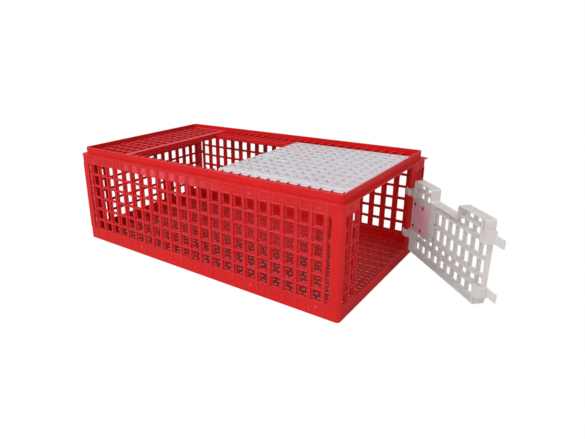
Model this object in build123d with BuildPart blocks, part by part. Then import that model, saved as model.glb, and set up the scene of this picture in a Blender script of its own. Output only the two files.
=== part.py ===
"""Plastic poultry transport crate: openwork box with a sliding top lid and a hinged end door.

The origin is under the middle of the floor, +X points to the door end, +Y to the back side and
+Z up. All values are in millimetres. The lid is drawn slid fully open, the door swung half open.
"""

from build123d import *
import math
import os

# ---------------------------------------------------------------- overall grid and height
CELL = 40.0                      # rib pitch of the walls
EDGE = 5.0                       # outermost rib line to the outer face
CELLS_X = 24
CELLS_Y = 14
LENGTH = CELLS_X * CELL + 2 * EDGE
WIDTH = CELLS_Y * CELL + 2 * EDGE
HEIGHT = 324.0
HALF_X = LENGTH / 2
HALF_Y = WIDTH / 2
CORNER_R = 11.0
GAP = 0.3                        # assembly clearance between two mouldings
FUSE = 0.5                       # how far joined bodies run into each other
CUT = 1.0                        # how far a cut runs past the faces it opens
MIN_R = 1.0                      # smallest plan radius of a nested outline

# ---------------------------------------------------------------- wall section, depths below the outer face
SKIN_DEPTH = 1.5                 # outer face of the base skirt and of the top band
SKIN = 2.7
PLATE_DEPTH = 4.5                # outer face of every wall plate
PLATE = 3.0
INNER_DEPTH = PLATE_DEPTH + PLATE + GAP
INNER = 2.5                      # inner lip that closes the groove a plate stands in
RIB = 5.5                        # upright outer rib
BAR = 3.0                        # level outer bar
POST_SKIN = 3.0
POST_WRAP = 13.0                 # how far a corner post wraps onto the end wall
POST_FACE = 30.0                 # width of a corner post on the long side

# ---------------------------------------------------------------- levels
SKIRT_TOP = 42.0
SILL_TOP = 31.0
FLOOR_BOTTOM = 3.0
FLOOR_TOP = 6.0
LIP_TOP = 36.0
BAND_BOTTOM = 272.0
BAND_LIP_BOTTOM = 277.0
DECK_BOTTOM = 298.5
DECK_TOP = 301.5
GRID_TOP = 309.0
WALL_BOTTOM = 14.0
WALL_TOP = 296.0
ROWS = ((43, 71), (80, 111), (120, 152), (161, 193), (201, 233), (241, 270.5))
BAR_LEVELS = tuple((low[1] + high[0]) / 2 for low, high in zip(ROWS, ROWS[1:]))
HOLE = 22.0
HOLE_R = 2.0
SLOT_ROWS = ((51, 102), (111, 200), (212, 265))
SLOT_WIDE = 10.0
SLOT_FROM_END = 36.0             # middle of the narrow slots beside a corner post

# ---------------------------------------------------------------- floor
FLOOR_PITCH = 20.0
FLOOR_SLOT_X = 15.0
FLOOR_SLOT_Y = 7.0
FLOOR_COLUMNS = 46
FLOOR_ROWS = 26
FLOOR_RIB = 3.0
RIB_INSET = 16.0                 # the floor's ribs stop short of the rim of a crate below
RIDGE = 2.5
RIDGE_LOW = 8.0
RIDGE_HIGH = 38.0

# ---------------------------------------------------------------- door end
JAMB_CELLS = 2
LATCH_EDGE = -200.0              # Y where the latch jamb ends
HINGE_EDGE = 189.0               # Y where the hinge jamb begins
JAMB_RETURN = 12.0               # depth of the latch jamb's edge
HINGE_X = 478.5
HINGE_Y = 181.0
POST_R = 6.0

# ---------------------------------------------------------------- top frame
RIM_DEPTH = 11.0
RIM = 3.5
RIM_R = 13.0
RIM_ROUND = 0.8                  # rounding of the rim's top edges
CROSSBAR_LEFT = -325.0
CROSSBAR_RIGHT = -309.0
OPENING_RIGHT = 62.0
OPENING_Y = 213.0                # half width of the top opening
RAIL_Y = 220.0                   # inner face of the rails that guide the lid
RAIL = 2.5
CURTAIN = 2.5
CURTAIN_BOTTOM = 290.0
GRID_PITCH_X = 31.0
GRID_PITCH_Y = 35.3
GRID_RIB = 3.5
DECK_GRID_CELLS = 12             # cells along each side of the grid under the open lid
END_GRID_COLUMNS = 4
END_GRID_ROWS = 15
RAIL_RIB = 2.5
RAIL_RIBS = 25
RAIL_RIB_TOP = 312.5
FINGER_BOTTOM = 309.5
FINGER = 5.0                     # how far the rail ribs reach over the lid
LEDGE_OUT = 5.0
TAB = 12.0
BAND_RIDGE = 4.0
GUSSET = 3.0
POCKET_WIDE = 22.0
POCKET_HIGH = 21.0
POCKET_DEPTH = 0.7

# ---------------------------------------------------------------- lid
LID_LEFT = 60.0
LID_LENGTH = 395.0
LID_Y = RAIL_Y - 0.6
LID_BOTTOM = 301.9
LID_TOP = 313.5
LID_EDGE_TOP = 309.0
LID_EDGE = FINGER + 1.0
LID_COLUMNS = 13
LID_ROWS = 11
LID_PITCH_X = 30.3
LID_PITCH_Y = 35.3
LID_RIB = 3.5
LID_CORNER_R = 3.0
HALF_ROW = 14.0
GRIP_FROM_END = 31.0             # middle of the two finger holes, from the lid's inner end
GRIP_X = 46.0
GRIP_Y = 88.0
GRIP_PITCH = 54.0
FINGER_HOLE_X = 30.0
FINGER_HOLE_Y = 20.0

# ---------------------------------------------------------------- door
DOOR_ANGLE = -44.0               # direction in which the door points away from its hinge
DOOR_WIDTH = 335.0
DOOR_THICK = 28.0
DOOR_BOTTOM = 37.0
DOOR_TOP = 258.0
DOOR_OFFSET_S = 26.8             # hinge axis to the door's near edge, along the door
DOOR_OFFSET_T = 3.3              # hinge axis behind the door's inner face
DOOR_COLUMNS = 10
DOOR_RIB = 4.0
DOOR_BAR = 3.0
UPRIGHT_DEEP = 11.0
BAR_DEEP = 20.0
DOOR_FUSE = 1.0                  # how far the door's ribs run into its rim
DOOR_BARS = (78.0, 108.0, 154.0, 200.0, 229.0)
NOTCH_LEFT = 96.0
NOTCH_RIGHT = 224.0
NOTCH_BOTTOM = 222.0
HOOK_LEVELS = (73.5, 205.5)
HOOK_HIGH = 21.0
HOOK_R = POST_R + 0.1
HOOK_WALL = 4.6
HOOK_ARM = 6.6
HOOK_MOUTH = 8.0
KNOB_S = 9.6
KNOB_T = 5.4
KNOB_R = 3.4
WINDOW_MARGIN = 2.5
WINDOW_REACH = 15.5
DOOR_CORNER_R = 6.0
PANEL_THICK = 2.5
PANEL_RIGHT = 112.0
PANEL_HOLE = 11.0
PANEL_HOLES = ((14, 190), (58, 190), (12, 121), (56, 120))
PANEL_OPEN = 96.0                # the lattice is left out behind the smooth plate up to here
BACKING_DEPTH = 9.0              # red plate behind the smooth one, held by four square studs
BACKING = 2.5
BACKING_LEFT = 1.0
BACKING_RIGHT = 88.0
STUD_CLEAR = 0.2
STOP_S = 105.0                   # small raised bar on the smooth plate
STOP_WIDE = 3.0
STOP_OUT = 2.5
STOP_LEVELS = (145.0, 165.0)
BLOCK = 16.0
BLOCKS = ((DOOR_BOTTOM, 78.0), (229.0, DOOR_TOP))
PADS = ((58.0, 84.0), (200.0, 231.0))
PAD_OUT = 8.0
PAD_GAP_DEEP = 14.0
TONGUE = 4.0
TONGUE_LONG = 31.0
TONGUE_HIGH = 21.0
TONGUE_LEVELS = (62.0, 199.5)

# ---------------------------------------------------------------- snap pins
PIN_R = 2.5
PIN_HEAD_R = 4.3
PIN_CLEAR = 0.1
PIN_HEAD = 1.2
PIN_PROUD = 0.3
PIN_DIMPLE_R = 1.0
PIN_BARB_R = 3.1
PIN_BARB = 1.6
PIN_TAPER = 35.0
UPPER_PINS_Z = 286.0
LOWER_PINS_Z = 25.0
SIDE_PINS = (-10.5 * CELL, -5.5 * CELL, 5.5 * CELL, 10.5 * CELL)
END_PINS = (-5.5 * CELL, -1.5 * CELL, 1.5 * CELL, 5.5 * CELL)
LATCH_PINS = (-5.5 * CELL,)
HINGE_PINS = (5.5 * CELL,)

# One drawing plane per outer face: local x runs level, local y runs up, and +z points outwards.
FRONT = Plane(origin=(0, -HALF_Y, 0), x_dir=(1, 0, 0), z_dir=(0, -1, 0))
BACK = Plane(origin=(0, HALF_Y, 0), x_dir=(-1, 0, 0), z_dir=(0, 1, 0))
CLOSED = Plane(origin=(-HALF_X, 0, 0), x_dir=(0, -1, 0), z_dir=(-1, 0, 0))
DOORWAY = Plane(origin=(HALF_X, 0, 0), x_dir=(0, 1, 0), z_dir=(1, 0, 0))


def at(face, depth):
    """The plane lying the given depth inside an outer face."""
    return face.offset(-depth)


def rectangle(left, right, low, high, mode=Mode.ADD):
    """A rectangle given by its four sides, in the sketch being drawn."""
    with Locations(((left + right) / 2, (low + high) / 2)):
        Rectangle(right - left, high - low, mode=mode)


def outline(depth, radius=CORNER_R):
    """The crate's rounded plan outline, the given depth inside its outer faces."""
    RectangleRounded(LENGTH - 2 * depth, WIDTH - 2 * depth, max(radius - depth, MIN_R))


def ring(depth, thick, radius=CORNER_R):
    """A closed band in plan: its outer face lies at depth and it is thick wide."""
    outline(depth, radius)
    inner = depth + thick
    RectangleRounded(
        LENGTH - 2 * inner, WIDTH - 2 * inner, max(radius - inner, MIN_R), mode=Mode.SUBTRACT
    )


def rib_lines(cells):
    """Level positions of the rib lines between the two outermost ones."""
    return [(n - cells / 2) * CELL for n in range(1, cells)]


def cell_middles(first, last):
    """Level positions of the middles of a run of cells, counted from a wall's middle line."""
    return [(n + 0.5) * CELL for n in range(first, last)]


def window_rows(middles):
    """Subtracts one window per row at each level position."""
    for low, high in ROWS:
        with Locations(*[(x, (low + high) / 2) for x in middles]):
            RectangleRounded(HOLE, high - low, HOLE_R, mode=Mode.SUBTRACT)


def pin_holes(places, level):
    """Subtracts the holes through which the snap pins pass."""
    with Locations(*[(x, level) for x in places]):
        Circle(PIN_R + PIN_CLEAR, mode=Mode.SUBTRACT)


def outer_ribs(face, ribs, left, right):
    """Adds the upright ribs and the level bars in front of a wall plate."""
    low = SKIRT_TOP + GAP
    high = BAND_BOTTOM - GAP
    with BuildSketch(at(face, PLATE_DEPTH)) as lattice:
        for x in ribs:
            rectangle(x - RIB / 2, x + RIB / 2, low, high)
        for z in BAR_LEVELS:
            rectangle(left, right, z - BAR / 2, z + BAR / 2)
    extrude(lattice.sketch, amount=PLATE_DEPTH)


def wall_plate(face, left, right, middles, places):
    """A pierced wall plate with the pin holes in its top and bottom tongues."""
    with BuildSketch(at(face, PLATE_DEPTH + PLATE)) as plate:
        rectangle(left, right, WALL_BOTTOM, WALL_TOP)
        window_rows(middles)
        pin_holes(places, UPPER_PINS_Z)
        pin_holes(places, LOWER_PINS_Z)
    extrude(plate.sketch, amount=PLATE)


def pins(face, places, level):
    """A group of snap pins: head, shank and barb, with a small dimple in the head."""
    spots = [(x, level) for x in places]
    reach = INNER_DEPTH + INNER + PIN_CLEAR
    with BuildPart() as group:
        with BuildSketch(at(face, SKIN_DEPTH + PIN_HEAD)):
            with Locations(*spots):
                Circle(PIN_HEAD_R)
        extrude(amount=PIN_HEAD + PIN_PROUD)
        with BuildSketch(at(face, SKIN_DEPTH + PIN_HEAD)):
            with Locations(*spots):
                Circle(PIN_R)
        extrude(amount=SKIN_DEPTH + PIN_HEAD - reach)
        with BuildSketch(at(face, reach)):
            with Locations(*spots):
                Circle(PIN_BARB_R)
        extrude(amount=-PIN_BARB, taper=PIN_TAPER)
        with BuildSketch(at(face, SKIN_DEPTH - PIN_PROUD)):
            with Locations(*spots):
                Circle(PIN_DIMPLE_R)
        extrude(amount=-PIN_HEAD / 2, mode=Mode.SUBTRACT)
    return group


def pin_seats(face, places, level):
    """Drills a moulding for the snap pins: a through hole and a seat for each head."""
    spots = [(x, level) for x in places]
    through = INNER_DEPTH + INNER + CUT
    with BuildSketch(at(face, through)) as holes:
        with Locations(*spots):
            Circle(PIN_R + PIN_CLEAR)
    extrude(holes.sketch, amount=through, mode=Mode.SUBTRACT)
    with BuildSketch(at(face, SKIN_DEPTH + PIN_HEAD)) as seats:
        with Locations(*spots):
            Circle(PIN_HEAD_R + PIN_CLEAR)
    extrude(seats.sketch, amount=SKIN_DEPTH + PIN_HEAD, mode=Mode.SUBTRACT)


def ridges(face, lines, wide, low, high):
    """Raises thin upright ridges on the skirt or the band."""
    with BuildSketch(at(face, SKIN_DEPTH)) as strips:
        for x in lines:
            rectangle(x - wide / 2, x + wide / 2, low, high)
    extrude(strips.sketch, amount=SKIN_DEPTH)


def pockets(face, middles):
    """Sinks a shallow square pocket into each cell of the top band."""
    level = (BAND_BOTTOM + DECK_BOTTOM) / 2
    with BuildSketch(at(face, SKIN_DEPTH + POCKET_DEPTH)) as squares:
        with Locations(*[(x, level) for x in middles]):
            Rectangle(POCKET_WIDE, POCKET_HIGH)
    extrude(squares.sketch, amount=POCKET_DEPTH, mode=Mode.SUBTRACT)


PINNED = (
    (FRONT, SIDE_PINS),
    (BACK, SIDE_PINS),
    (CLOSED, END_PINS),
    (DOORWAY, LATCH_PINS + HINGE_PINS),
)
SIDE_LINES = rib_lines(CELLS_X)
END_LINES = rib_lines(CELLS_Y)
JAMB_LINES = (-6 * CELL, 5 * CELL, 6 * CELL)
RIDGED = ((FRONT, SIDE_LINES), (BACK, SIDE_LINES), (CLOSED, END_LINES), (DOORWAY, JAMB_LINES))
DOORWAY_IN = HALF_X - INNER_DEPTH - INNER

# ---------------------------------------------------------------- base: slotted floor in a grooved skirt
with BuildPart() as base:
    with BuildSketch():
        ring(SKIN_DEPTH, SKIN)
    extrude(amount=SKIRT_TOP)
    with BuildSketch(Plane.XY.offset(FLOOR_BOTTOM)):
        ring(INNER_DEPTH, INNER)
    extrude(amount=LIP_TOP - FLOOR_BOTTOM)
    with BuildSketch(Plane.XY.offset(SILL_TOP)):
        rectangle(DOORWAY_IN - CUT, HALF_X, LATCH_EDGE, HINGE_EDGE)
    extrude(amount=SKIRT_TOP - SILL_TOP, mode=Mode.SUBTRACT)
    with BuildSketch(Plane.XY.offset(SILL_TOP - SKIN)):
        rectangle(DOORWAY_IN + CUT, HALF_X - SKIN_DEPTH - CUT, LATCH_EDGE, HINGE_EDGE)
    extrude(amount=SKIN)
    for face, lines in RIDGED:
        ridges(face, lines, RIDGE, RIDGE_LOW, RIDGE_HIGH)
    for face, places in PINNED:
        pin_seats(face, places, LOWER_PINS_Z)
    with BuildSketch(Plane.XY.offset(FLOOR_BOTTOM)):
        outline(SKIN_DEPTH + SKIN / 2)
    extrude(amount=FLOOR_TOP - FLOOR_BOTTOM)
    with BuildSketch():
        with GridLocations(CELL, CELL, CELLS_X - 1, 1):
            Rectangle(FLOOR_RIB, WIDTH - 2 * RIB_INSET)
        with GridLocations(CELL, CELL, 1, CELLS_Y - 1):
            Rectangle(LENGTH - 2 * RIB_INSET, FLOOR_RIB)
    extrude(amount=FLOOR_BOTTOM + FUSE)
    with BuildSketch(Plane.XY.offset(FLOOR_BOTTOM - CUT)):
        with GridLocations(FLOOR_PITCH, FLOOR_PITCH, FLOOR_COLUMNS, FLOOR_ROWS):
            Rectangle(FLOOR_SLOT_X, FLOOR_SLOT_Y)
    extrude(amount=FLOOR_TOP - FLOOR_BOTTOM + 2 * CUT, mode=Mode.SUBTRACT)
base.part.label = "base"

# ---------------------------------------------------------------- long walls
with BuildPart() as front_panel:
    wall_plate(
        FRONT, -HALF_X + CORNER_R, HALF_X - CORNER_R,
        cell_middles(-CELLS_X // 2 + 1, CELLS_X // 2 - 1), SIDE_PINS,
    )
    slot_x = HALF_X - SLOT_FROM_END
    for low, high in SLOT_ROWS:
        with BuildSketch(at(FRONT, PLATE_DEPTH + PLATE)):
            with Locations(*[(x, (low + high) / 2) for x in (-slot_x, slot_x)]):
                RectangleRounded(SLOT_WIDE, high - low, HOLE_R)
        extrude(amount=PLATE, mode=Mode.SUBTRACT)
    post_x = HALF_X - POST_FACE
    outer_ribs(FRONT, SIDE_LINES, -SIDE_LINES[-1], SIDE_LINES[-1])
    with BuildSketch(Plane.XY.offset(SKIRT_TOP + GAP)):
        ring(0, POST_SKIN)
        rectangle(-HALF_X, HALF_X, -HALF_Y + POST_WRAP, HALF_Y, mode=Mode.SUBTRACT)
        rectangle(-post_x, post_x, -HALF_Y, -HALF_Y + POST_WRAP, mode=Mode.SUBTRACT)
        for x in (-post_x - POST_SKIN, post_x):
            rectangle(x, x + POST_SKIN, -HALF_Y, -HALF_Y + PLATE_DEPTH)
    extrude(amount=BAND_BOTTOM - SKIRT_TOP - 2 * GAP)
front_panel.part.label = "front_panel"

with BuildPart() as back_panel:
    mirror(front_panel.part, about=Plane.XZ)
back_panel.part.label = "back_panel"

# ---------------------------------------------------------------- end walls
END_REACH = HALF_Y - CORNER_R
with BuildPart() as closed_end_panel:
    wall_plate(CLOSED, -END_REACH, END_REACH, cell_middles(-CELLS_Y // 2, CELLS_Y // 2), END_PINS)
    outer_ribs(CLOSED, END_LINES, -HALF_Y + POST_WRAP + GAP, HALF_Y - POST_WRAP - GAP)
closed_end_panel.part.label = "closed_end_panel"

with BuildPart() as latch_jamb:
    latch_cells = cell_middles(-CELLS_Y // 2, JAMB_CELLS - CELLS_Y // 2)
    wall_plate(DOORWAY, -END_REACH, LATCH_EDGE, latch_cells, LATCH_PINS)
    outer_ribs(DOORWAY, JAMB_LINES[:1], -HALF_Y + POST_WRAP + GAP, LATCH_EDGE)
    with BuildSketch(at(DOORWAY, JAMB_RETURN)):
        rectangle(LATCH_EDGE - POST_SKIN, LATCH_EDGE, SKIRT_TOP + GAP, BAND_BOTTOM - GAP)
    extrude(amount=JAMB_RETURN)
latch_jamb.part.label = "latch_jamb"

with BuildPart() as hinge_jamb:
    hinge_cells = cell_middles(CELLS_Y // 2 - JAMB_CELLS, CELLS_Y // 2)
    wall_plate(DOORWAY, HINGE_EDGE, END_REACH, hinge_cells, HINGE_PINS)
    outer_ribs(DOORWAY, JAMB_LINES[1:], HINGE_EDGE, HALF_Y - POST_WRAP - GAP)
    with BuildSketch(at(DOORWAY, PLATE_DEPTH + PLATE)):
        rectangle(HINGE_Y, HINGE_EDGE, SILL_TOP + GAP, DECK_BOTTOM - GAP)
    extrude(amount=PLATE)
    with BuildSketch(at(DOORWAY, PLATE_DEPTH + PLATE)):
        for low in HOOK_LEVELS:
            rectangle(
                HINGE_Y, HINGE_Y + WINDOW_REACH,
                low - WINDOW_MARGIN, low + HOOK_HIGH + WINDOW_MARGIN,
            )
    extrude(amount=PLATE + PLATE_DEPTH, mode=Mode.SUBTRACT)
    with BuildSketch(Plane.XY.offset(SILL_TOP + GAP)):
        with Locations((HINGE_X, HINGE_Y)):
            Circle(POST_R)
    extrude(amount=DECK_BOTTOM - SILL_TOP - 2 * GAP)
hinge_jamb.part.label = "hinge_jamb"

# ---------------------------------------------------------------- top frame: band, rim, grids and rails
RIM_IN_X = HALF_X - RIM_DEPTH - RIM
RIM_IN_Y = HALF_Y - RIM_DEPTH - RIM
RAIL_RIB_FIRST = CROSSBAR_RIGHT + GRID_PITCH_X / 2
OPENING = (CROSSBAR_RIGHT, OPENING_RIGHT, -OPENING_Y, OPENING_Y)
TAB_Y = HALF_Y - CORNER_R
with BuildPart() as rim:
    with BuildSketch(Plane.XY.offset(DECK_TOP - FUSE)):
        ring(RIM_DEPTH, RIM, RIM_R + RIM_DEPTH)
    extrude(amount=HEIGHT - DECK_TOP + FUSE)
    fillet(rim.edges().group_by(Axis.Z)[-1], RIM_ROUND)

with BuildPart() as top_frame:
    with BuildSketch(Plane.XY.offset(BAND_BOTTOM)):
        ring(SKIN_DEPTH, SKIN)
    extrude(amount=DECK_BOTTOM - BAND_BOTTOM)
    with BuildSketch(Plane.XY.offset(BAND_LIP_BOTTOM)):
        ring(INNER_DEPTH, INNER)
    extrude(amount=DECK_BOTTOM - BAND_LIP_BOTTOM)
    with BuildSketch(Plane.XY.offset(BAND_BOTTOM)):
        rectangle(DOORWAY_IN - CUT, HALF_X, LATCH_EDGE, HINGE_EDGE)
    extrude(amount=DECK_BOTTOM - BAND_BOTTOM, mode=Mode.SUBTRACT)
    for face, lines in RIDGED:
        ridges(face, lines, BAND_RIDGE, BAND_BOTTOM, DECK_BOTTOM)
    for face, cells in ((FRONT, CELLS_X), (BACK, CELLS_X), (CLOSED, CELLS_Y)):
        pockets(face, cell_middles(-cells // 2 + 1, cells // 2 - 1))
    for face, places in PINNED:
        pin_seats(face, places, UPPER_PINS_Z)
    # curtain round the opening
    with BuildSketch(Plane.XY.offset(CURTAIN_BOTTOM)):
        curtain_y = OPENING_Y + CURTAIN
        rectangle(CROSSBAR_RIGHT - CURTAIN, OPENING_RIGHT + CURTAIN, -curtain_y, curtain_y)
        rectangle(*OPENING, mode=Mode.SUBTRACT)
    extrude(amount=DECK_BOTTOM - CURTAIN_BOTTOM)
    # deck: outer ledge, channel floors and the fixed grid under the open lid
    with BuildSketch(Plane.XY.offset(DECK_BOTTOM)):
        outline(0)
        rectangle(-HALF_X - LEDGE_OUT, 0, -HALF_Y + CORNER_R, HALF_Y - CORNER_R)
        rectangle(HALF_X - CORNER_R, HALF_X + LEDGE_OUT, TAB_Y - TAB / 2, TAB_Y + TAB / 2)
        rectangle(-RIM_IN_X, CROSSBAR_LEFT, -RIM_IN_Y, RIM_IN_Y, mode=Mode.SUBTRACT)
        rectangle(*OPENING, mode=Mode.SUBTRACT)
        with Locations(((OPENING_RIGHT + CURTAIN + LID_LEFT + LID_LENGTH) / 2, 0)):
            with GridLocations(GRID_PITCH_X, GRID_PITCH_Y, DECK_GRID_CELLS, DECK_GRID_CELLS):
                Rectangle(GRID_PITCH_X - GRID_RIB, GRID_PITCH_Y - GRID_RIB, mode=Mode.SUBTRACT)
    extrude(amount=DECK_TOP - DECK_BOTTOM)
    # end grid and crossbar
    with BuildSketch(Plane.XY.offset(DECK_BOTTOM)):
        rectangle(-RIM_IN_X, CROSSBAR_LEFT, -RIM_IN_Y, RIM_IN_Y)
        grid_left = CROSSBAR_LEFT - END_GRID_COLUMNS * GRID_PITCH_X
        with Locations(((grid_left + CROSSBAR_LEFT) / 2, 0)):
            with GridLocations(GRID_PITCH_X, GRID_PITCH_Y, END_GRID_COLUMNS, END_GRID_ROWS):
                Rectangle(GRID_PITCH_X - GRID_RIB, GRID_PITCH_Y - GRID_RIB, mode=Mode.SUBTRACT)
        with Locations(((grid_left - RIM_IN_X - GRID_RIB / 2) / 2, 0)):
            with GridLocations(GRID_PITCH_X, GRID_PITCH_Y, 1, END_GRID_ROWS):
                Rectangle(GRID_PITCH_X / 2, GRID_PITCH_Y - GRID_RIB, mode=Mode.SUBTRACT)
    extrude(amount=GRID_TOP - DECK_BOTTOM)
    with BuildSketch(Plane.XY.offset(DECK_TOP)):
        rectangle(CROSSBAR_LEFT, CROSSBAR_RIGHT, -RIM_IN_Y, RIM_IN_Y)
    extrude(amount=GRID_TOP - DECK_TOP)
    # gussets that carry the ledge over the closed end
    with BuildSketch(Plane.XZ):
        with BuildLine():
            Polyline(
                (-HALF_X, DECK_BOTTOM + FUSE), (-HALF_X - LEDGE_OUT, DECK_BOTTOM + FUSE),
                (-HALF_X - LEDGE_OUT, DECK_BOTTOM), (-HALF_X, BAND_BOTTOM + GAP),
                (-HALF_X + FUSE, BAND_BOTTOM + GAP), (-HALF_X + FUSE, DECK_BOTTOM + FUSE),
                close=True,
            )
        make_face()
    gusset = extrude(amount=GUSSET / 2, both=True, mode=Mode.PRIVATE)
    for y in [*END_LINES, -TAB_Y + GUSSET, TAB_Y - GUSSET]:
        add(Pos(0, y, 0) * gusset)
    # rim, lid rails and the ribs that reach over the lid's edges
    add(rim.part)
    with BuildSketch(Plane.XY.offset(DECK_TOP)):
        for y in (-RAIL_Y - RAIL, RAIL_Y):
            rectangle(CROSSBAR_RIGHT, RIM_IN_X, y, y + RAIL)
    extrude(amount=FINGER_BOTTOM - DECK_TOP)
    rib_spots = [RAIL_RIB_FIRST + n * GRID_PITCH_X for n in range(RAIL_RIBS)]
    with BuildSketch(Plane.XY.offset(DECK_TOP)):
        for x in rib_spots:
            for low, high in ((-RIM_IN_Y, -RAIL_Y - RAIL), (RAIL_Y + RAIL, RIM_IN_Y)):
                rectangle(x - RAIL_RIB / 2, x + RAIL_RIB / 2, low, high)
    extrude(amount=RAIL_RIB_TOP - DECK_TOP)
    with BuildSketch(Plane.XY.offset(FINGER_BOTTOM)):
        for x in rib_spots:
            for low, high in ((-RAIL_Y - RAIL, -RAIL_Y + FINGER), (RAIL_Y - FINGER, RAIL_Y + RAIL)):
                rectangle(x - RAIL_RIB / 2, x + RAIL_RIB / 2, low, high)
    extrude(amount=RAIL_RIB_TOP - FINGER_BOTTOM)
top_frame.part.label = "top_frame"

# ---------------------------------------------------------------- sliding lid
LID_MIDDLE_X = LID_LEFT + LID_LENGTH / 2
LID_GRID_Y = LID_Y - LID_EDGE - LID_ROWS * LID_PITCH_Y / 2
HALF_ROW_Y = LID_GRID_Y - LID_ROWS * LID_PITCH_Y / 2 - HALF_ROW / 2 - LID_RIB / 2
with BuildPart() as lid:
    with BuildSketch(Plane.XY.offset(LID_BOTTOM)):
        with Locations((LID_MIDDLE_X, 0)):
            RectangleRounded(LID_LENGTH, 2 * LID_Y, LID_CORNER_R)
        with Locations((LID_MIDDLE_X, LID_GRID_Y)):
            with GridLocations(LID_PITCH_X, LID_PITCH_Y, LID_COLUMNS, LID_ROWS):
                Rectangle(LID_PITCH_X - LID_RIB, LID_PITCH_Y - LID_RIB, mode=Mode.SUBTRACT)
        with Locations((LID_MIDDLE_X, HALF_ROW_Y)):
            with GridLocations(LID_PITCH_X, LID_PITCH_Y, LID_COLUMNS, 1):
                Rectangle(LID_PITCH_X - LID_RIB, HALF_ROW, mode=Mode.SUBTRACT)
        with Locations((LID_LEFT + GRIP_FROM_END, 0)):
            Rectangle(GRIP_X, GRIP_Y)
            with GridLocations(GRIP_X, GRIP_PITCH, 1, 2):
                RectangleRounded(FINGER_HOLE_X, FINGER_HOLE_Y, LID_CORNER_R, mode=Mode.SUBTRACT)
    extrude(amount=LID_TOP - LID_BOTTOM)
    with BuildSketch(Plane.XY.offset(LID_EDGE_TOP)):
        for y in (-LID_Y, LID_Y - LID_EDGE):
            rectangle(LID_LEFT, LID_LEFT + LID_LENGTH, y, y + LID_EDGE)
    extrude(amount=LID_TOP - LID_EDGE_TOP, mode=Mode.SUBTRACT)
lid.part.label = "lid"

# ---------------------------------------------------------------- door
turn = math.radians(DOOR_ANGLE)
ALONG = Vector(math.cos(turn), math.sin(turn), 0)
THROUGH = Vector(-math.sin(turn), math.cos(turn), 0)
DOOR_CORNER = Vector(HINGE_X, HINGE_Y, 0) + ALONG * DOOR_OFFSET_S - THROUGH * DOOR_OFFSET_T
DOOR_FACE = Plane(origin=DOOR_CORNER, x_dir=ALONG, z_dir=-THROUGH)
DOOR_PLAN = Plane(origin=DOOR_CORNER, x_dir=ALONG, z_dir=(0, 0, 1))


def door_outline():
    """The door seen square on, with the hand notch in its top edge and rounded corners."""
    with BuildLine() as edge:
        FilletPolyline(
            (0, DOOR_BOTTOM), (DOOR_WIDTH, DOOR_BOTTOM), (DOOR_WIDTH, DOOR_TOP),
            (NOTCH_RIGHT, DOOR_TOP), (NOTCH_RIGHT, NOTCH_BOTTOM),
            (NOTCH_LEFT, NOTCH_BOTTOM), (NOTCH_LEFT, DOOR_TOP), (0, DOOR_TOP),
            radius=DOOR_CORNER_R, close=True,
        )
    make_face(edge.line)


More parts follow.
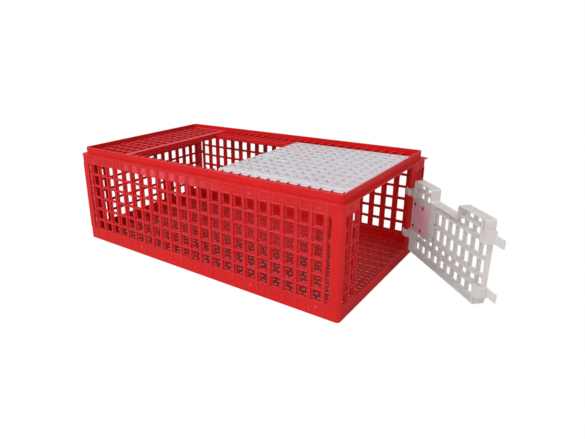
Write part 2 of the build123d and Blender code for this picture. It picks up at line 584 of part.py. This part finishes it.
with BuildPart() as door:
    with BuildSketch(at(DOOR_FACE, DOOR_THICK)):
        door_outline()
        offset(amount=-DOOR_BAR, mode=Mode.SUBTRACT)
    extrude(amount=DOOR_THICK)
    # lattice near the outer face: uprights and slightly deeper level bars
    with BuildSketch(at(DOOR_FACE, DOOR_THICK)):
        for n in range(1, DOOR_COLUMNS):
            s = n * DOOR_WIDTH / DOOR_COLUMNS
            top = NOTCH_BOTTOM if NOTCH_LEFT < s < NOTCH_RIGHT else DOOR_TOP
            rectangle(s - DOOR_RIB / 2, s + DOOR_RIB / 2, DOOR_BOTTOM + DOOR_FUSE, top - DOOR_FUSE)
    extrude(amount=UPRIGHT_DEEP)
    with BuildSketch(at(DOOR_FACE, DOOR_THICK)):
        for z in DOOR_BARS[:-1]:
            rectangle(DOOR_FUSE, DOOR_WIDTH - DOOR_FUSE, z - DOOR_BAR / 2, z + DOOR_BAR / 2)
        for left, right in ((0, NOTCH_LEFT), (NOTCH_RIGHT, DOOR_WIDTH)):
            rectangle(
                left + DOOR_FUSE, right - DOOR_FUSE,
                DOOR_BARS[-1] - DOOR_BAR / 2, DOOR_BARS[-1] + DOOR_BAR / 2,
            )
    extrude(amount=BAR_DEEP)
    # smooth plate on the inner face near the hinge, open behind and towards the hinge
    plate_low = DOOR_BARS[1] - DOOR_BAR / 2
    plate_high = DOOR_BARS[3] + DOOR_BAR / 2
    with BuildSketch(at(DOOR_FACE, DOOR_THICK + CUT)):
        rectangle(-CUT, PANEL_OPEN, plate_low + DOOR_BAR, plate_high - DOOR_BAR)
    extrude(amount=DOOR_THICK + CUT, mode=Mode.SUBTRACT)
    with BuildSketch(at(DOOR_FACE, DOOR_THICK - BAR_DEEP)):
        for z in (plate_low, plate_high - DOOR_BAR):
            rectangle(DOOR_FUSE, PANEL_RIGHT, z, z + DOOR_BAR)
        rectangle(PANEL_RIGHT - DOOR_BAR, PANEL_RIGHT, plate_low, plate_high)
    extrude(amount=DOOR_THICK - BAR_DEEP)
    with BuildSketch(at(DOOR_FACE, PANEL_THICK)):
        rectangle(0, PANEL_RIGHT, plate_low, plate_high)
        with Locations(*PANEL_HOLES):
            Rectangle(PANEL_HOLE, PANEL_HOLE, mode=Mode.SUBTRACT)
    extrude(amount=PANEL_THICK)
    with BuildSketch(at(DOOR_FACE, FUSE)):
        rectangle(STOP_S - STOP_WIDE / 2, STOP_S + STOP_WIDE / 2, *STOP_LEVELS)
    extrude(amount=STOP_OUT + FUSE)
    # solid corner blocks and latch pads at the free edge, and the gap between them
    with BuildSketch(at(DOOR_FACE, DOOR_THICK)):
        for low, high in BLOCKS:
            rectangle(
                DOOR_WIDTH - BLOCK, DOOR_WIDTH - DOOR_CORNER_R, low + DOOR_FUSE, high - DOOR_FUSE
            )
    extrude(amount=DOOR_THICK)
    with BuildSketch(DOOR_FACE):
        rectangle(DOOR_WIDTH - BLOCK, DOOR_WIDTH + CUT, PADS[0][1], PADS[1][0])
    extrude(amount=-PAD_GAP_DEEP, mode=Mode.SUBTRACT)
    with BuildSketch(at(DOOR_FACE, DOOR_THICK)):
        for low, high in PADS:
            rectangle(DOOR_WIDTH - BLOCK, DOOR_WIDTH + PAD_OUT, low, high)
    extrude(amount=DOOR_THICK)
    with BuildSketch(at(DOOR_FACE, DOOR_THICK)):
        for low in TONGUE_LEVELS:
            rectangle(DOOR_WIDTH, DOOR_WIDTH + PAD_OUT + TONGUE_LONG, low, low + TONGUE_HIGH)
    extrude(amount=TONGUE)
    # C-shaped hooks that snap round the hinge post
    for level in HOOK_LEVELS:
        with BuildSketch(DOOR_PLAN.offset(level)):
            with Locations((-DOOR_OFFSET_S, DOOR_OFFSET_T)):
                Circle(HOOK_R + HOOK_WALL)
            rectangle(-DOOR_OFFSET_S, DOOR_FUSE, 0, HOOK_ARM)
            with Locations((-DOOR_OFFSET_S - KNOB_S, DOOR_OFFSET_T - KNOB_T)):
                Circle(KNOB_R)
            with Locations((-DOOR_OFFSET_S, DOOR_OFFSET_T)):
                Circle(HOOK_R, mode=Mode.SUBTRACT)
            rectangle(
                -DOOR_OFFSET_S - HOOK_MOUTH / 2, -DOOR_OFFSET_S + HOOK_MOUTH / 2,
                DOOR_OFFSET_T - HOOK_R - 2 * HOOK_WALL, DOOR_OFFSET_T, mode=Mode.SUBTRACT,
            )
        extrude(amount=HOOK_HIGH)
door.part.label = "door"

# ---------------------------------------------------------------- red plate with studs, inside the door
with BuildPart() as door_plate:
    with BuildSketch(at(DOOR_FACE, BACKING_DEPTH + BACKING)):
        rectangle(
            BACKING_LEFT, BACKING_RIGHT,
            plate_low + DOOR_BAR + GAP, plate_high - DOOR_BAR - GAP,
        )
    extrude(amount=BACKING)
    with BuildSketch(at(DOOR_FACE, BACKING_DEPTH)):
        with Locations(*PANEL_HOLES):
            Rectangle(PANEL_HOLE - 2 * STUD_CLEAR, PANEL_HOLE - 2 * STUD_CLEAR)
    extrude(amount=BACKING_DEPTH - STUD_CLEAR)
door_plate.part.label = "door_plate"

# ---------------------------------------------------------------- snap pins
front_upper_pins = pins(FRONT, SIDE_PINS, UPPER_PINS_Z)
front_upper_pins.part.label = "front_upper_pins"
front_lower_pins = pins(FRONT, SIDE_PINS, LOWER_PINS_Z)
front_lower_pins.part.label = "front_lower_pins"
back_upper_pins = pins(BACK, SIDE_PINS, UPPER_PINS_Z)
back_upper_pins.part.label = "back_upper_pins"
back_lower_pins = pins(BACK, SIDE_PINS, LOWER_PINS_Z)
back_lower_pins.part.label = "back_lower_pins"
closed_end_upper_pins = pins(CLOSED, END_PINS, UPPER_PINS_Z)
closed_end_upper_pins.part.label = "closed_end_upper_pins"
closed_end_lower_pins = pins(CLOSED, END_PINS, LOWER_PINS_Z)
closed_end_lower_pins.part.label = "closed_end_lower_pins"
door_end_upper_pins = pins(DOORWAY, LATCH_PINS + HINGE_PINS, UPPER_PINS_Z)
door_end_upper_pins.part.label = "door_end_upper_pins"
door_end_lower_pins = pins(DOORWAY, LATCH_PINS + HINGE_PINS, LOWER_PINS_Z)
door_end_lower_pins.part.label = "door_end_lower_pins"

PIECES = (
    base, front_panel, back_panel, closed_end_panel, latch_jamb, hinge_jamb, top_frame,
    lid, door, door_plate,
    front_upper_pins, front_lower_pins, back_upper_pins, back_lower_pins,
    closed_end_upper_pins, closed_end_lower_pins, door_end_upper_pins, door_end_lower_pins,
)
os.makedirs("parts", exist_ok=True)
for piece in PIECES:
    export_step(piece.part, "parts/" + piece.part.label + ".step")
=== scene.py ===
"""Looks of the poultry transport crate: moulded plastics, soft studio light and the camera.

Every length is in metres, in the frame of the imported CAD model.
"""

import math

import bpy
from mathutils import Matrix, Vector

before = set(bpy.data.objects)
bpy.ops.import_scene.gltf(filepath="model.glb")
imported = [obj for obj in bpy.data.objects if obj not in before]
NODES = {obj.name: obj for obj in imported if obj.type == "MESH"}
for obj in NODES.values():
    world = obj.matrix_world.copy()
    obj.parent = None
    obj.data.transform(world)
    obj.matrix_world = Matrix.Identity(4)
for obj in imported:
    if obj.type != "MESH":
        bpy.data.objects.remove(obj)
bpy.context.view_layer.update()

# ---------------------------------------------------------------- nodes of each plastic
SHELL = (
    "base", "top_frame", "front_panel", "back_panel", "closed_end_panel", "latch_jamb", "hinge_jamb",
    "door_plate",
)
PINS = tuple(name for name in NODES if name.endswith("_pins"))

# ---------------------------------------------------------------- colours
RED = (0.62, 0.010, 0.010, 1.0)
RED_DEEP = (0.46, 0.006, 0.007, 1.0)
# paler red of scuffs, also used for painted highlights on edges, sunk squares and level tops
RED_SCUFF_AND_HIGHLIGHT = (0.86, 0.17, 0.22, 1.0)
PIN_RED = (0.66, 0.030, 0.035, 1.0)
LID_WHITE = (0.89, 0.91, 0.94, 1.0)
LID_SHADE = (0.78, 0.79, 0.83, 1.0)
DOOR_WHITE = (0.88, 0.86, 0.84, 1.0)
DOOR_SHADE = (0.76, 0.73, 0.71, 1.0)
# paler white of scuffs, also used for painted highlights on edges
SCUFF_AND_HIGHLIGHT_WHITE = (0.96, 0.96, 0.96, 1.0)
PAINTED_PLATE_GLOW = (1.0, 0.74, 0.82, 1.0)    # painted glow: pink painted on the white plate where the red plate lies behind
PURE_WHITE = (1.0, 1.0, 1.0, 1.0)

# ---------------------------------------------------------------- plastic surface
EDGE_ROUND = 0.0008              # radius of the moulded edges
PALE_EDGE = 0.0016               # width of the paler edges, partly rubbed and partly a painted highlight
EDGE_TURN = (0.995, 0.80)        # cosine of the bend where an edge begins to pale and where it is palest
BEVEL_SAMPLES = 4
STREAK_STRETCH = (0.6, 0.6, 3.0)
CLOUDS = {"scale": 5.0, "detail": 4.0, "low": 0.35, "high": 0.75}
CLOUD_SHARE = 0.35
FLOW = {"scale": 22.0, "detail": 5.0, "low": 0.45, "high": 0.80}    # streaks left by the melt
FLOW_SHARE = 0.15
SCRATCHES = {"scale": 260.0, "detail": 6.0, "roughness": 0.7, "low": 0.62, "high": 0.74}
SCRATCH_SHARE = 0.12
EDGE_WEAR_AND_HIGHLIGHT = {"scale": 30.0, "detail": 4.0, "low": 0.35, "high": 0.65, "start": 0.45}   # patches of the paler edges: wear and painted highlight
DULLED = {"scale": 14.0, "detail": 5.0, "low": 0.35, "high": 0.75}  # patches of a rougher surface
DULL_SPREAD = (-0.06, 0.10)      # how far patches lie below and above the plastic's roughness
GRAIN = {"scale": 900.0, "detail": 2.0}     # fine dents of the mould's surface
GRAIN_STRENGTH = 0.06
GRAIN_HEIGHT = 0.0003
PLASTIC_IOR = 1.49
SHEEN = 0.22
MILKY = 0.25                     # share of the light that passes the white plastics diffusely
VIEW_BLUR = 0.55                 # roughness of the view through the white plastics
VIEW_IOR = 1.02

# ---------------------------------------------------------------- tinted places: painted highlights and painted glow
POCKET_FACE = (0.2825, 0.2831)   # distance of the band's sunk squares from the crate's middle plane
POCKET_LOW = 0.270               # the sunk squares lie above this level
POCKET_ALONG = (-0.30, -0.24, -0.06, 0.14)  # the part of the band whose sunk squares get a painted highlight
POCKET_PALE = 0.28
TOP_LEVEL = 0.302                # level faces above this get a painted highlight
TOP_PALE = 0.40
FACES_UP = 0.9                   # upward share of the normal of a level face
HINGE_X = 0.4785
HINGE_Y = 0.181
DOOR_TURN = math.radians(-44.0)  # direction in which the resting door points away from its hinge
DOOR_AWAY = 0.0268               # hinge axis to the door's near edge, along the door
DOOR_INSIDE = 0.0033             # hinge axis behind the door's inner face
GLOW_ALONG = (-0.002, 0.004, 0.086, 0.104)  # the painted glow of the red plate along the door, with soft ends
GLOW_HIGH = (0.108, 0.114, 0.1945, 0.2005)
GLOW_DEEP = 0.003                # how deep behind the door's inner face the painted glow reaches

# ---------------------------------------------------------------- stage
CRATE_HALF = (0.484, 0.284)      # half length and half width of the crate on the floor
SHADE_FADE = 0.01                # width over which plain white gives way to the shaded floor
FLOOR_SIZE = 40.0
FLOOR_LEVEL = -0.0005
FLOOR_TONE = (0.90, 0.90, 0.90, 1.0)
FLOOR_IN_GLOSS = (0.30, 0.30, 0.30, 1.0)
SLOT_WHITE = 0.35                # how white the floor looks through the crate's own floor slots
SKY_STRENGTH = 0.38

CAMERA_PLACE = (0.9206, -1.2247, 0.6596)
CAMERA_TURN = (71.017, 0.933, 36.928)       # degrees
CAMERA_LENS = 29.714             # millimetres, as the sensor width
SENSOR_WIDTH = 36.0
CAMERA_SHIFT = (0.0811, -0.0255)


# ---------------------------------------------------------------- node helpers
def plug(tree, socket, value):
    """Links value when it is another node's socket and stores it when it is a plain value."""
    if isinstance(value, bpy.types.NodeSocket):
        tree.links.new(value, socket)
    else:
        socket.default_value = value


class Nodes:
    """Builds one material's node tree with short calls."""

    def __init__(self, name):
        self.material = bpy.data.materials.new(name)
        self.material.use_nodes = True
        self.tree = self.material.node_tree
        self.tree.nodes.clear()
        self.output = self.tree.nodes.new("ShaderNodeOutputMaterial")

    def add(self, kind, inputs=None, **settings):
        """Adds a node; inputs maps socket names to values or to other nodes' sockets."""
        node = self.tree.nodes.new("ShaderNode" + kind)
        for key, value in settings.items():
            setattr(node, key, value)
        for key, value in (inputs or {}).items():
            plug(self.tree, node.inputs[key], value)
        return node

    def compute(self, operation, *values):
        return self.add("Math", dict(enumerate(values)), operation=operation).outputs[0]

    def times(self, *factors):
        product = factors[0]
        for factor in factors[1:]:
            product = self.compute("MULTIPLY", product, factor)
        return product

    def noise(self, place, scale, detail, roughness=0.55):
        return self.add(
            "TexNoise", {"Vector": place, "Scale": scale, "Detail": detail, "Roughness": roughness}
        ).outputs["Fac"]

    def ramp(self, value, low, high, start=0.0, end=1.0):
        """Maps low..high to start..end, clamped."""
        return self.add(
            "MapRange",
            {"Value": value, "From Min": low, "From Max": high, "To Min": start, "To Max": end},
        ).outputs["Result"]

    def pattern(self, place, low, high, start=0.0, end=1.0, **noise):
        """Patches of a noise: start where it is below low, end where it is above high."""
        return self.ramp(self.noise(place, **noise), low, high, start, end)

    def between(self, value, start, full, fading, end):
        """0 up to start, 1 from full to fading and 0 again from end on."""
        return self.times(self.ramp(value, start, full), self.ramp(value, end, fading))

    def axes(self, vector):
        return self.add("SeparateXYZ", {0: vector}).outputs

    def tint(self, factor, first, second):
        """The first colour, going over to the second as factor rises."""
        node = self.add("Mix", data_type="RGBA")
        for key, value in ((0, factor), (6, first), (7, second)):
            plug(self.tree, node.inputs[key], value)
        return node.outputs[2]

    def blend(self, factor, first, second):
        """The first shader, going over to the second as factor rises."""
        return self.add("MixShader", {0: factor, 1: first.outputs[0], 2: second.outputs[0]})

    def finish(self, shader):
        self.tree.links.new(shader.outputs[0], self.output.inputs["Surface"])
        return self.material


# ---------------------------------------------------------------- tinted places: painted highlights and painted glow
def painted_top_highlight(nodes, where):
    """Strength of the painted highlight on level faces at the top of the crate."""
    up = nodes.axes(nodes.add("NewGeometry").outputs["True Normal"])["Z"]
    level = nodes.compute("GREATER_THAN", up, FACES_UP)
    above = nodes.compute("GREATER_THAN", nodes.axes(where)["Z"], TOP_LEVEL)
    return nodes.times(level, above, TOP_PALE)


def painted_pocket_highlight(nodes, where):
    """Strength of the painted highlight on the sunk squares along part of the long bands."""
    axes = nodes.axes(where)
    depth = nodes.compute("ABSOLUTE", axes["Y"])
    outer = nodes.compute("GREATER_THAN", depth, POCKET_FACE[0])
    inner = nodes.compute("LESS_THAN", depth, POCKET_FACE[1])
    high = nodes.compute("GREATER_THAN", axes["Z"], POCKET_LOW)
    return nodes.times(outer, inner, nodes.between(axes["X"], *POCKET_ALONG), high, POCKET_PALE)


def painted_red_glow(nodes, where):
    """1 on the smooth plate of the door where the red plate lies behind it, where its glow is painted.
    """
    cosine, sine = math.cos(DOOR_TURN), math.sin(DOOR_TURN)
    corner = (
        HINGE_X + DOOR_AWAY * cosine + DOOR_INSIDE * sine,
        HINGE_Y + DOOR_AWAY * sine - DOOR_INSIDE * cosine,
        0,
    )
    local = nodes.add(
        "Mapping", {"Vector": where, "Location": corner, "Rotation": (0, 0, DOOR_TURN)},
        vector_type="TEXTURE",
    ).outputs[0]
    axes = nodes.axes(local)
    thin = nodes.compute("LESS_THAN", axes["Y"], GLOW_DEEP)
    return nodes.times(
        nodes.between(axes["X"], *GLOW_ALONG), nodes.between(axes["Z"], *GLOW_HIGH), thin
    )


# ---------------------------------------------------------------- plastics
def edge_mask(nodes):
    """1 on sharp edges and corners, 0 on flat faces."""
    bevel = nodes.add("Bevel", {"Radius": PALE_EDGE}, samples=BEVEL_SAMPLES).outputs[0]
    flat = nodes.add("NewGeometry").outputs["True Normal"]
    bend = nodes.add("VectorMath", {0: bevel, 1: flat}, operation="DOT_PRODUCT").outputs["Value"]
    return nodes.ramp(bend, *EDGE_TURN)


def plastic_colour(nodes, where, colour, shade, scuff_and_highlight, wear_and_highlight, tints):
    """Cloudy colour with flow streaks, fine scratches and paler edges, partly rubbed and partly a
    painted highlight.
    """
    stretched = nodes.add("Mapping", {"Vector": where, "Scale": STREAK_STRETCH}).outputs[0]
    clouds = nodes.times(nodes.pattern(where, **CLOUDS), CLOUD_SHARE)
    flow = nodes.times(nodes.pattern(stretched, **FLOW), FLOW_SHARE)
    scratches = nodes.times(nodes.pattern(stretched, **SCRATCHES), SCRATCH_SHARE * wear_and_highlight)
    # paler edges: partly rubbing, partly a painted highlight
    edges = nodes.times(edge_mask(nodes), nodes.pattern(where, **EDGE_WEAR_AND_HIGHLIGHT), wear_and_highlight)
    base = nodes.tint(clouds, colour, shade)
    base = nodes.tint(flow, base, shade)
    base = nodes.tint(scratches, base, scuff_and_highlight)
    base = nodes.tint(edges, base, scuff_and_highlight)
    # further painted highlights and painted glow come in as tints
    for strength, tint in tints:
        base = nodes.tint(strength(nodes, where), base, tint)
    return base


def moulded_plastic(name, colour, shade, scuff_and_highlight, roughness, wear_and_highlight, clear=0.0, tints=()):
    """Injection-moulded plastic with fine grain, dull patches and rounded edges.

    clear is the share of the view that passes through. Each tint is a function that gives a
    strength at a place, and the colour it leads to.
    """
    nodes = Nodes(name)
    where = nodes.add("TexCoord").outputs["Object"]
    base = plastic_colour(nodes, where, colour, shade, scuff_and_highlight, wear_and_highlight, tints)
    smooth, rough = (roughness + step for step in DULL_SPREAD)
    rounded = nodes.add("Bevel", {"Radius": EDGE_ROUND}, samples=BEVEL_SAMPLES).outputs[0]
    grainy = nodes.add(
        "Bump",
        {
            "Height": nodes.noise(where, **GRAIN),
            "Strength": GRAIN_STRENGTH,
            "Distance": GRAIN_HEIGHT,
            "Normal": rounded,
        },
    ).outputs[0]
    shader = nodes.add(
        "BsdfPrincipled",
        {
            "Base Color": base,
            "Roughness": nodes.pattern(where, **DULLED, start=smooth, end=rough),
            "Normal": grainy,
            "IOR": PLASTIC_IOR,
            "Specular IOR Level": SHEEN,
        },
    )
    if clear:
        shader = nodes.blend(MILKY, shader, nodes.add("BsdfTranslucent", {"Color": base}))
        view = nodes.add("BsdfRefraction", {"Color": base, "Roughness": VIEW_BLUR, "IOR": VIEW_IOR})
        shader = nodes.blend(clear, shader, view)
    return nodes.finish(shader)


def paint(names, material):
    """Gives each of the named CAD nodes its one material."""
    for name in names:
        slots = NODES[name].data.materials
        slots.clear()
        slots.append(material)


paint(SHELL, moulded_plastic(
    "red_plastic", RED, RED_DEEP, RED_SCUFF_AND_HIGHLIGHT, roughness=0.34, wear_and_highlight=0.75,
    # painted highlights on the sunk squares and on the level tops
    tints=((painted_pocket_highlight, RED_SCUFF_AND_HIGHLIGHT), (painted_top_highlight, RED_SCUFF_AND_HIGHLIGHT)),
))
paint(PINS, moulded_plastic(
    "pin_plastic", PIN_RED, RED_DEEP, RED_SCUFF_AND_HIGHLIGHT, roughness=0.40, wear_and_highlight=0.8,
))
paint(["lid"], moulded_plastic(
    "lid_plastic", LID_WHITE, LID_SHADE, SCUFF_AND_HIGHLIGHT_WHITE, roughness=0.38, wear_and_highlight=0.8, clear=0.12,
))
paint(["door"], moulded_plastic(
    "door_plastic", DOOR_WHITE, DOOR_SHADE, SCUFF_AND_HIGHLIGHT_WHITE, roughness=0.42, wear_and_highlight=0.8, clear=0.22,
    # painted glow of the red plate behind the door
    tints=((painted_red_glow, PAINTED_PLATE_GLOW),),
))


# ---------------------------------------------------------------- stage: floor, light, camera
def white_floor():
    """Matt white for the light it throws back, plain white where the camera sees it.

    Under the crate the camera sees the real, shaded floor, with part of the plain white mixed in.
    """
    nodes = Nodes("studio_floor")
    path = nodes.add("LightPath").outputs
    tone = nodes.tint(path["Is Glossy Ray"], FLOOR_TONE, FLOOR_IN_GLOSS)
    matt = nodes.add("BsdfDiffuse", {"Color": tone})
    glow = nodes.add("Emission", {"Color": PURE_WHITE, "Strength": 1.0})
    axes = nodes.axes(nodes.add("NewGeometry").outputs["Position"])
    covered = [
        nodes.ramp(nodes.compute("ABSOLUTE", axes[axis]), half, half - SHADE_FADE)
        for axis, half in zip("XY", CRATE_HALF)
    ]
    plain_white = nodes.ramp(nodes.times(*covered), 0.0, 1.0, 1.0, SLOT_WHITE)
    return nodes.finish(nodes.blend(nodes.times(path["Is Camera Ray"], plain_white), matt, glow))


def add_floor():
    bpy.ops.mesh.primitive_plane_add(size=FLOOR_SIZE, location=(0, 0, FLOOR_LEVEL))
    floor = bpy.context.object
    floor.name = "studio_floor"
    floor.data.materials.append(white_floor())


def add_area(name, place, target, size, power):
    """A square soft light at place, turned to face target."""
    light = bpy.data.lights.new(name, "AREA")
    light.energy = power
    light.size = size
    lamp = bpy.data.objects.new(name, light)
    bpy.context.scene.collection.objects.link(lamp)
    lamp.location = place
    direction = Vector(target) - lamp.location
    lamp.rotation_euler = direction.to_track_quat("-Z", "Y").to_euler()


def add_sky():
    """A soft white sky that lights the crate; the camera sees it as plain white."""
    world = bpy.data.worlds.new("studio")
    world.use_nodes = True
    tree = world.node_tree
    level = tree.nodes.new("ShaderNodeMapRange")
    seen = tree.nodes.new("ShaderNodeLightPath").outputs["Is Camera Ray"]
    background = tree.nodes["Background"]
    plug(tree, level.inputs["Value"], seen)
    plug(tree, level.inputs["To Min"], SKY_STRENGTH)
    plug(tree, level.inputs["To Max"], 1.0)
    plug(tree, background.inputs["Color"], PURE_WHITE)
    plug(tree, background.inputs["Strength"], level.outputs["Result"])
    bpy.context.scene.world = world


def add_camera():
    camera = bpy.data.cameras.new("camera")
    camera.sensor_width = SENSOR_WIDTH
    camera.lens = CAMERA_LENS
    camera.shift_x, camera.shift_y = CAMERA_SHIFT
    thing = bpy.data.objects.new("camera", camera)
    bpy.context.scene.collection.objects.link(thing)
    thing.location = CAMERA_PLACE
    thing.rotation_euler = [math.radians(angle) for angle in CAMERA_TURN]
    bpy.context.scene.camera = thing


add_floor()
add_sky()
add_area("key", place=(-1.2, -2.2, 3.0), target=(0, 0, 0.15), size=2.0, power=96)
add_area("fill", place=(2.2, -0.9, 1.9), target=(-0.2, 0, 0.25), size=1.2, power=22)
add_area("front", place=(0.9, -2.3, 0.9), target=(0.2, 0, 0.15), size=1.5, power=6)
add_camera()
bpy.context.scene.view_settings.view_transform = "Standard"
